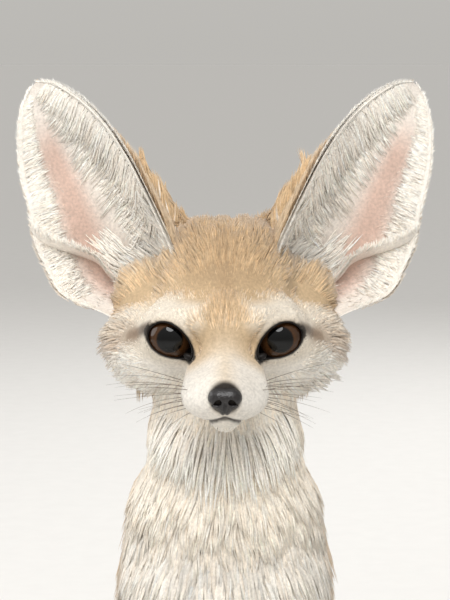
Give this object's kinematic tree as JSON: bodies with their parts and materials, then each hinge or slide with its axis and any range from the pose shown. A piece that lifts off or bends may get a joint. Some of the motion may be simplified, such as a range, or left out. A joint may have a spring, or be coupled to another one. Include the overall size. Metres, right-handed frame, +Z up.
{
  "type": "fennec fox",
  "caption": "Life-size still model of an adult fennec fox, sitting upright with its tail laid round its side.",
  "frame": {"origin": "on the floor, under the middle of the whole model's box", "axes": "+Z up, -Y the way the fox faces, +X towards the fox's left side"},
  "size_m": [0.1952, 0.2482, 0.3542],
  "materials": {
    "coat": "dense fur, sandy buff",
    "pale_coat": "dense fur, cream",
    "ear": "thin skin with short fur",
    "tail_coat": "long fur, reddish buff",
    "tail_tip": "long fur, black-brown",
    "nose": "damp skin",
    "eye": "wet, glossy"
  },
  "bodies": {
    "root": {"head": "coat", "nose": "nose", "eye_left": "eye", "eye_right": "eye", "ear_left": "ear", "ear_right": "ear", "neck": "pale_coat", "trunk": "coat", "thigh_left": "coat", "thigh_right": "coat", "hindfoot_left": "pale_coat", "hindfoot_right": "pale_coat", "foreleg_left": "pale_coat", "foreleg_right": "pale_coat", "forepaw_left": "pale_coat", "forepaw_right": "pale_coat", "tail_base": "tail_coat", "tail_middle": "tail_coat", "tail_tip": "tail_tip"}
  },
  "joints": []
}
